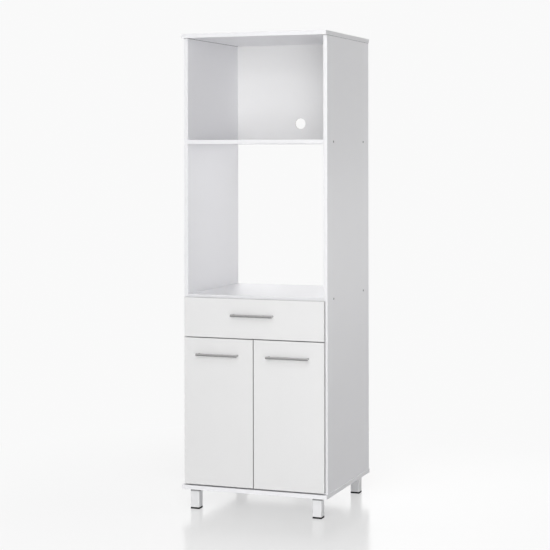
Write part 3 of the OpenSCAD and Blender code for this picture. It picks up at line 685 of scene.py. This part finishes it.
ZINC = PlatedSteel((0.62, 0.64, 0.66), 0.36)
HINGE_NICKEL = PlatedSteel((0.66, 0.655, 0.64), 0.26, cloud=120.0, tarnish=0.15)
RUNNER_PAINT = Enamel((0.76, 0.76, 0.745), 0.38)
LEG_PAINT = Enamel((0.80, 0.802, 0.812), 0.34, peel=900.0, peel_depth=0.012 * MM, metallic=0.1)
NYLON = MouldedPlastic((0.74, 0.735, 0.70), 0.42, translucent=0.25)
PAD_PLASTIC = MouldedPlastic((0.006, 0.006, 0.0065), 0.6, specular=0.15)
# dark plastic for the rings at the legs' tops, which are painted shade under the bottom panel
SHADE_COLLAR_PLASTIC = MouldedPlastic((0.32, 0.32, 0.324), 0.55, specular=0.3)
CAP_PLASTIC = MouldedPlastic((0.33, 0.33, 0.335), 0.5, specular=0.3)


# ---------- pieces ----------


def dress(node: str, material: bpy.types.Material) -> None:
    """Gives a piece of the frame its material.

    Args:
        node: the piece's name.
        material: its new material, for all its slots.
    """
    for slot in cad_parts[node].material_slots:
        slot.material = material
    LOG.info("%s: %s", node, material.name)


def dress_all(nodes: Iterable[str], material: bpy.types.Material) -> None:
    """Gives several pieces of the frame one material."""
    for node in nodes:
        dress(node, material)


def dress_boards(finish: MelamineBoard, thickness: Axis, banded: Sequence[Edge], nodes: Iterable[str],
                 joined: Edge | None = None) -> None:
    """Gives each of these boards a material of its own, cut to its box.

    Args:
        finish: the board's finish.
        thickness: the axis across the boards.
        banded: their banded edges.
        nodes: names of the boards in the frame.
        joined: the side under the panel that laps over them, where a line of painted shadow is drawn.
    """
    for node in nodes:
        dress(node, finish.make(f"{node}_melamine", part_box(node), thickness, banded, joined))


def circle(radius: float, height: float, steps: int = 24) -> list[Vector]:
    """Points round the axis at one height.

    Args:
        radius: their distance from the axis.
        height: their z.
        steps: how many there are.

    Returns:
        The points in order; a single point where the radius is 0.
    """
    if radius == 0:
        return [Vector((0, 0, height))]
    angles = [2 * math.pi * i / steps for i in range(steps)]
    return [Vector((radius * math.cos(a), radius * math.sin(a), height)) for a in angles]


def rounded_square(half: float, corner: float, height: float, steps: int = 5) -> list[Vector]:
    """Points of a square with rounded corners.

    Args:
        half: half the square's width.
        corner: radius of its corners.
        height: z of the points.
        steps: faces round each corner.

    Returns:
        The points, in order round the axis.
    """
    points = []
    for quarter in range(4):
        turn = Matrix.Rotation(quarter * math.pi / 2, 3, "Z")
        for i in range(steps + 1):
            a = math.pi / 2 * i / steps
            x = half - corner + corner * math.cos(a)
            y = half - corner + corner * math.sin(a)
            points.append(turn @ Vector((x, y, height)))
    return points


def lofted_mesh(name: str, rings: Sequence[Sequence[Vector]], places: Iterable[Matrix]) -> bpy.types.Object:
    """Makes one object of equal pieces, each skinned over rings of points.

    Args:
        name: the object's name.
        rings: sections of the piece in order; a pole is a ring of one point.
        places: where each piece's own origin and +Z go.

    Returns:
        The new object, in the scene.
    """
    mesh = bpy.data.meshes.new(name)
    build = bmesh.new()
    for place in places:
        skin = [[build.verts.new(place @ point) for point in ring] for ring in rings]
        for lower, upper in zip(skin, skin[1:]):
            count = max(len(lower), len(upper))
            for i in range(count):
                j = (i + 1) % count
                corners = [lower[i % len(lower)], lower[j % len(lower)], upper[j % len(upper)], upper[i % len(upper)]]
                build.faces.new(dict.fromkeys(corners))
    bmesh.ops.remove_doubles(build, verts=build.verts, dist=MERGE_DISTANCE)
    bmesh.ops.recalc_face_normals(build, faces=build.faces)
    build.to_mesh(mesh)
    build.free()
    mesh.shade_smooth()
    mesh.set_sharp_from_angle(angle=SHARP_ANGLE)
    piece = bpy.data.objects.new(name, mesh)
    bpy.context.scene.collection.objects.link(piece)
    return piece


def settle(piece: bpy.types.Object, body: str, material: bpy.types.Material) -> None:
    """Finishes a new piece.

    Args:
        piece: the new piece.
        body: the body that it rides on.
        material: its material here.
    """
    piece.data.materials.append(material)
    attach(piece, body)
    LOG.info("%s rides on %s: %s", piece.name, body, material.name)


@dataclass
class Carcass:
    """Boards and backs of the cabinet, with the nails of the backs and the caps of the side screws."""

    # a lighter copy of the band colour for the bottom panel: painted light on its edges
    lit_bottom_band: Colour = (0.82, 0.819, 0.837)
    screw_head_r: float = 3.5 * MM
    cap_r: float = 4.2 * MM
    cap_h: float = 2.2 * MM
    nail_pitch: float = 120 * MM
    nail_head_r: float = 1.9 * MM
    nail_head_h: float = 0.35 * MM
    nail_r: float = 0.7 * MM
    nail_l: float = 18 * MM
    nail_point: float = 2 * MM
    nail_neck: tuple[float, float] = (0.2 * MM, 0.1 * MM)

    def build(self) -> None:
        """Dresses the boards, nails the backs on and caps the screws."""
        board = MelamineBoard()
        lapping_edges = [Edge.FRONT, Edge.LEFT, Edge.RIGHT]
        dress_boards(board, Axis.Z, lapping_edges, ["top_panel"])
        dress_boards(MelamineBoard(band_colour=self.lit_bottom_band), Axis.Z, lapping_edges, ["bottom_panel"])
        # the side panels get a line of painted shadow along their tops, under the top panel's overhang
        dress_boards(board, Axis.X, [Edge.FRONT], ["left_side_panel", "right_side_panel"], joined=Edge.UPPER)
        dress_boards(board, Axis.Z, [Edge.FRONT], ["middle_shelf", "bay_floor", "cupboard_shelf"])
        nail_steel = ZINC.make("nail_zinc")
        for back in ("upper_back_panel", "lower_back_panel"):
            dress(back, Hardboard().make(f"{back}_hardboard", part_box(back), Edge.FRONT))
            nails = lofted_mesh(back.replace("panel", "nails"), self.nail_rings(), self.nail_places(back))
            settle(nails, "carcass", nail_steel)
        caps = lofted_mesh("screw_caps", self.cap_rings(), self.cap_places())
        settle(caps, "carcass", CAP_PLASTIC.make("cap_plastic"))

    def nail_rings(self) -> list[list[Vector]]:
        """Rings of a wire nail that points down, its head on z = 0.

        Returns:
            The rings, from the point to the head.
        """
        r, h = self.nail_head_r, self.nail_head_h
        neck_low, neck_high = self.nail_neck
        outline = [(0, -self.nail_l), (self.nail_r, self.nail_point - self.nail_l), (self.nail_r, -neck_low),
                   (r, -neck_high), (r, 0.5 * h), (0.8 * r, 0.85 * h), (0.4 * r, h), (0, h)]
        return [circle(radius, height) for radius, height in outline]

    def cap_rings(self) -> list[list[Vector]]:
        """Rings of a domed cap over a screw head, its rim on z = 0.

        Returns:
            The rings, from the middle of the flat face over the rim to the top of the dome.
        """
        angles = [math.radians(a) for a in range(0, 90, 15)]
        rim = 0.15 * self.cap_h
        dome = [circle(self.cap_r * math.cos(a), rim + (self.cap_h - rim) * math.sin(a)) for a in angles]
        return [circle(0, 0), circle(self.cap_r, 0), *dome, circle(0, self.cap_h)]

    def cap_places(self) -> list[Matrix]:
        """Places of the caps, over the fixed shelves' screws on the outside of both side panels.

        Returns:
            One matrix for each cap.
        """
        low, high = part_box("side_screws")
        half_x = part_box("right_side_panel")[1].x
        return [Matrix.Translation((side * half_x, y, z)) @ Matrix.Rotation(side * math.pi / 2, 4, "Y")
                for side in (-1, 1)
                for y in (low.y + self.screw_head_r, high.y - self.screw_head_r)
                for z in (low.z + self.screw_head_r, high.z - self.screw_head_r)]

    def nail_places(self, back: str) -> list[Matrix]:
        """Places round the rim of a back, over the middle of the boards that it is nailed to.

        Args:
            back: the back's node.

        Returns:
            One matrix for each nail.
        """
        low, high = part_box(back)
        inner, outer = (corner.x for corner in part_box("right_side_panel"))
        half_x = (inner + outer) / 2
        inset = high.x - half_x
        z0, z1 = low.z + inset, high.z - inset
        rows = max(2, round((z1 - z0) / self.nail_pitch))
        columns = max(2, round(2 * half_x / self.nail_pitch))
        spots = [(side * half_x, z0 + (z1 - z0) * i / rows) for side in (-1, 1) for i in range(rows + 1)]
        spots += [(-half_x + 2 * half_x * i / columns, z) for z in (z0, z1) for i in range(1, columns)]
        turn = Matrix.Rotation(math.radians(-90), 4, "X")
        return [Matrix.Translation((x, high.y, z)) @ turn for x, z in spots]


@dataclass
class Fronts:
    """Doors, drawer front and their bar handles."""

    bar_r: float = 5 * MM
    # The fronts' white is a darker copy of the carcass's white, and their bands are darker still: painted shade that
    # tones down the fronts, which face the lamps, and shades their side edges.
    board: MelamineBoard = MelamineBoard(colour=(0.768, 0.767, 0.768), band_colour=(0.42, 0.42, 0.424),
                                         gloss_roughness=0.36, pearl_depth=0.014 * MM)

    def build(self) -> None:
        """Dresses the fronts and the handles."""
        dress_boards(self.board, Axis.Y, [Edge.LEFT, Edge.RIGHT, Edge.LOWER, Edge.UPPER],
                     ["drawer_front", "left_door_panel", "right_door_panel"])
        for handle in ("drawer_handle", "left_door_handle", "right_door_handle"):
            axis_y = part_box(handle)[0].y + self.bar_r
            dress(handle, BrushedNickel().make(f"{handle}_nickel", axis_y, self.bar_r))


@dataclass
class DrawerBox:
    """Sides, back and bottom of the drawer."""

    def build(self) -> None:
        """Dresses the drawer's boards."""
        board = MelamineBoard()
        dress_boards(board, Axis.X, [Edge.UPPER], ["drawer_left_side", "drawer_right_side"])
        dress_boards(board, Axis.Y, [Edge.UPPER], ["drawer_back"])
        dress("drawer_bottom", Hardboard().make("drawer_bottom_hardboard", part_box("drawer_bottom"), Edge.UPPER))


@dataclass
class Fittings:
    """Runners, hinges, legs with foot rims and dark rings of painted shade at the top, screws and other hardware."""

    leg_corner: float = 2 * MM
    rim_h: float = 6.4 * MM
    rim_t: float = 0.5 * MM
    rim_bevel: float = 0.3 * MM
    rim_play: float = 0.02 * MM
    rim_base: float = 0.3 * MM
    # dark rings at the legs' tops: painted shade, where the bottom panel overhangs the legs
    shade_collar_h: float = 10 * MM
    shade_collar_drop: float = 0.05 * MM

    def build(self) -> None:
        """Dresses the metal, plastic and dowel pieces."""
        sides, ends = ("left", "right"), ("front", "rear")
        runners = [f"{side}_{member}_runner" for side in sides for member in ("cabinet", "drawer")]
        dress_all(runners, RUNNER_PAINT.make("runner_paint"))
        dress_all([f"{side}_{end}_roller" for side in sides for end in ends], NYLON.make("roller_nylon"))
        hinge = HINGE_NICKEL.make("hinge_nickel")
        corners = [f"{level}_{side}" for level in ("upper", "lower") for side in sides]
        dress_all([f"{corner}_hinge_{piece}" for corner in corners for piece in ("arm", "plate")], hinge)
        dress_all([f"{side}_hinge_{piece}" for piece in ("cups", "pins") for side in sides], hinge)
        dress_all([f"{end}_{side}_leg" for end in ends for side in sides], LEG_PAINT.make("leg_paint"))
        pad = PAD_PLASTIC.make("pad_plastic")
        dress("foot_pads", pad)
        rims = lofted_mesh("foot_rims", self.rim_rings(self.rim_h), self.leg_ends(self.rim_base))
        settle(rims, "carcass", pad)
        # dark rings at the legs' tops, painted shade under the bottom panel
        shade_collars = lofted_mesh("leg_shade_collars", self.rim_rings(self.shade_collar_h), self.leg_ends(None))
        settle(shade_collars, "carcass", SHADE_COLLAR_PLASTIC.make("shade_collar_plastic"))
        dress("dowels", Beech().make("dowel_beech"))
        dress_all(["side_screws", "end_panel_screws", "shelf_pins", "leg_bolts", "runner_screws", "hinge_screws",
                   "drawer_runner_screws", "drawer_screws", "drawer_cams", "drawer_cam_bolts",
                   "drawer_handle_screws", "left_door_handle_screws", "right_door_handle_screws",
                   "left_cup_screws", "right_cup_screws"], ZINC.make("fitting_zinc"))

    def rim_rings(self, height: float) -> list[list[Vector]]:
        """Rings of a square rim round a leg's end, with its lower face on z = 0.

        Args:
            height: the rim's height.

        Returns:
            One ring for each corner of its section.
        """
        low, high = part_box("front_right_leg")
        inner = (high.x - low.x) / 2 + self.rim_play
        outer, bevel = inner + self.rim_t, self.rim_bevel
        outline = [(inner, 0), (outer, 0), (outer, height - bevel), (outer - bevel, height), (inner, height),
                   (inner, 0)]
        return [rounded_square(half, self.leg_corner + half - inner, z) for half, z in outline]

    def leg_ends(self, base: float | None) -> list[Matrix]:
        """Places of the four rims.

        Args:
            base: height of their lower faces; None for the painted-shade rings that hang from the legs' tops.

        Returns:
            One matrix for each leg.
        """
        places = []
        for leg in ("front_left_leg", "front_right_leg", "rear_left_leg", "rear_right_leg"):
            low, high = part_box(leg)
            z = high.z - self.shade_collar_h - self.shade_collar_drop if base is None else base
            places.append(Matrix.Translation(((low.x + high.x) / 2, (low.y + high.y) / 2, z)))
        return places


# ---------- stage ----------


@dataclass(frozen=True)
class Lamp:
    """A square soft lamp that faces a point on the cabinet."""

    name: str
    place: tuple[float, float, float]
    target: tuple[float, float, float]
    size: float
    power: float

    def build(self) -> None:
        """Adds the lamp to the scene."""
        data = bpy.data.lights.new(self.name, "AREA")
        data.shape = "SQUARE"
        data.size = self.size
        data.energy = self.power
        lamp = bpy.data.objects.new(self.name, data)
        lamp.location = self.place
        lamp.rotation_euler = (Vector(self.target) - Vector(self.place)).to_track_quat("-Z", "Y").to_euler()
        lamp.visible_camera = False
        bpy.context.scene.collection.objects.link(lamp)


@dataclass
class Studio:
    """Camera, floor, lamps and surroundings.

    Light falls on a floor of floor_colour. The camera sees floor_seen there with floor_glow added, which keeps the
    shadow soft, and the floor turns to the backdrop's white over floor_fade metres round the cabinet.
    """

    camera_place: tuple[float, float, float] = (2.2276, -6.0517, 1.4098)
    camera_pitch: float = 90.0
    camera_yaw: float = 20.26
    camera_roll: float = 0.09
    lens: float = 105.0
    sensor: float = 36.0
    shift_down: float = 0.2272
    view_depth: float = 100.0
    floor_radius: float = 30.0
    floor_colour: Colour = (0.87, 0.87, 0.87)
    floor_tones: tuple[float, float] = (0.985, 1.0)
    floor_seen: Colour = (0.30, 0.30, 0.30)
    floor_specks: float = 180.0
    floor_matt: float = 0.6
    floor_roughness: float = 0.15
    speck_roughness: float = 0.02
    floor_glow: float = 0.50
    floor_sheen: float = 0.15
    floor_fade: float = 1.4
    backdrop: float = 0.95
    surroundings: float = 0.10
    lamps: tuple[Lamp, ...] = (
        Lamp("front_lamp", place=(1.2, -5.4, 1.6), target=(0.0, 0.0, 1.0), size=3.1, power=118.0),
        Lamp("right_front_lamp", place=(2.0, -5.1, 1.5), target=(0.0, 0.0, 1.0), size=3.2, power=14.0),
        Lamp("low_lamp", place=(2.5, -5.0, 0.85), target=(0.0, 0.0, 0.8), size=1.6, power=34.0),
        Lamp("high_lamp", place=(0.77, -4.36, 4.1), target=(0.0, 0.0, 1.0), size=3.5, power=86.0),
        Lamp("top_lamp", place=(0.0, 0.0, 4.6), target=(0.0, 0.0, 1.0), size=3.0, power=20.0),
        Lamp("side_lamp", place=(1.6, 1.8, 0.72), target=(0.3, 0.3, 0.8), size=1.1, power=7.4),
        Lamp("left_lamp", place=(-3.4, 0.7, 1.1), target=(-0.3, 0.1, 0.9), size=1.6, power=17.0),
        Lamp("back_lamp", place=(0.0, 3.98, 1.55), target=(0.0, 0.0, 1.2), size=2.4, power=32.0),
        Lamp("back_left_lamp", place=(-2.29, 3.26, 1.55), target=(0.0, 0.0, 1.2), size=2.4, power=22.0),
    )

    def build(self) -> None:
        """Builds the whole stage."""
        self.build_camera()
        self.build_floor()
        self.build_surroundings()
        for lamp in self.lamps:
            lamp.build()
        bpy.context.scene.view_settings.view_transform = "Standard"

    def build_camera(self) -> None:
        """Places the camera where the photograph was taken from."""
        data = bpy.data.cameras.new("camera")
        data.lens = self.lens
        data.sensor_width = self.sensor
        data.shift_y = -self.shift_down
        data.clip_end = self.view_depth
        camera = bpy.data.objects.new("camera", data)
        camera.location = self.camera_place
        camera.rotation_euler = [math.radians(a) for a in (self.camera_pitch, self.camera_roll, self.camera_yaw)]
        bpy.context.scene.collection.objects.link(camera)
        bpy.context.scene.camera = camera

    def build_floor(self) -> None:
        """Lays a pale, faintly glossy floor that keeps the cabinet's shadow and turns to backdrop away from it."""
        mesh = bpy.data.meshes.new("floor")
        build = bmesh.new()
        bmesh.ops.create_circle(build, cap_ends=True, segments=64, radius=self.floor_radius)
        build.to_mesh(mesh)
        build.free()
        floor = bpy.data.objects.new("floor", mesh)
        bpy.context.scene.collection.objects.link(floor)
        graph = Graph("floor")
        speck = graph.noise(self.floor_specks, detail=3.0)
        seen = graph.rays("Is Camera Ray")
        colour = graph.tinted(speck, self.floor_colour, self.floor_tones)
        shown = graph.mix(seen, colour, self.floor_seen)
        matt = graph.add("ShaderNodeBsdfPrincipled", {},
                         {"Base Color": shown, "Roughness": self.floor_matt, "Specular IOR Level": 0.0})
        gloss = graph.add("ShaderNodeBsdfAnisotropic", {},
                          {"Roughness": self.floor_roughness + speck * self.speck_roughness})
        satin = graph.add("ShaderNodeMixShader", {}, {0: self.floor_sheen, 1: matt.outputs[0], 2: gloss.outputs[0]})
        glow = graph.add("ShaderNodeEmission", {}, {"Strength": self.floor_glow})
        glowing = graph.add("ShaderNodeAddShader", {}, {0: satin.outputs[0], 1: glow.outputs[0]})
        lit = graph.add("ShaderNodeMixShader", {}, {0: seen, 1: satin.outputs[0], 2: glowing.outputs[0]})
        white = graph.add("ShaderNodeEmission", {}, {"Strength": self.backdrop})
        away = self.clearness(*graph.axes(graph.place())[:2]) * seen
        both = graph.add("ShaderNodeMixShader", {}, {0: away, 1: lit.outputs[0], 2: white.outputs[0]})
        graph.add("ShaderNodeOutputMaterial", {}, {"Surface": both.outputs[0]})
        mesh.materials.append(graph.owner)

    def clearness(self, x: Signal, y: Signal) -> Signal:
        """How far the floor has turned to backdrop at a place.

        Args:
            x: the place's x, in metres.
            y: the place's y.

        Returns:
            0 under the cabinet, rising smoothly to 1 at floor_fade metres from it.
        """
        low, high = CAD_BOX
        dx = (abs(x) - high[0]).most(0.0)
        dy = (low[1] - y).most(y - high[1]).most(0.0)
        share = ((dx * dx + dy * dy) ** 0.5 / self.floor_fade).limited()
        return share * share * (3 - share * 2)

    def build_surroundings(self) -> None:
        """Gives the world a plain light, and white where the camera, metal or glass sees it."""
        graph = Graph("surroundings", bpy.data.worlds)
        mirrored = graph.rays("Is Glossy Ray").most(graph.rays("Is Transmission Ray"))
        in_mirrors = mirrored * (1.0 - self.surroundings)
        in_camera = graph.rays("Is Camera Ray") * (self.backdrop - self.surroundings)
        strength = in_mirrors + in_camera + self.surroundings
        background = graph.add("ShaderNodeBackground", {}, {"Color": opaque(WHITE), "Strength": strength})
        graph.add("ShaderNodeOutputWorld", {}, {"Surface": background.outputs[0]})
        bpy.context.scene.world = graph.owner


def main() -> None:
    """Builds the stage and dresses every part of the cabinet."""
    logging.basicConfig(level=logging.INFO, format="%(name)s %(message)s")
    Studio().build()
    for assembly in (Carcass(), Fronts(), DrawerBox(), Fittings()):
        LOG.info("building %s", type(assembly).__name__)
        assembly.build()


if __name__ == "__main__":
    main()
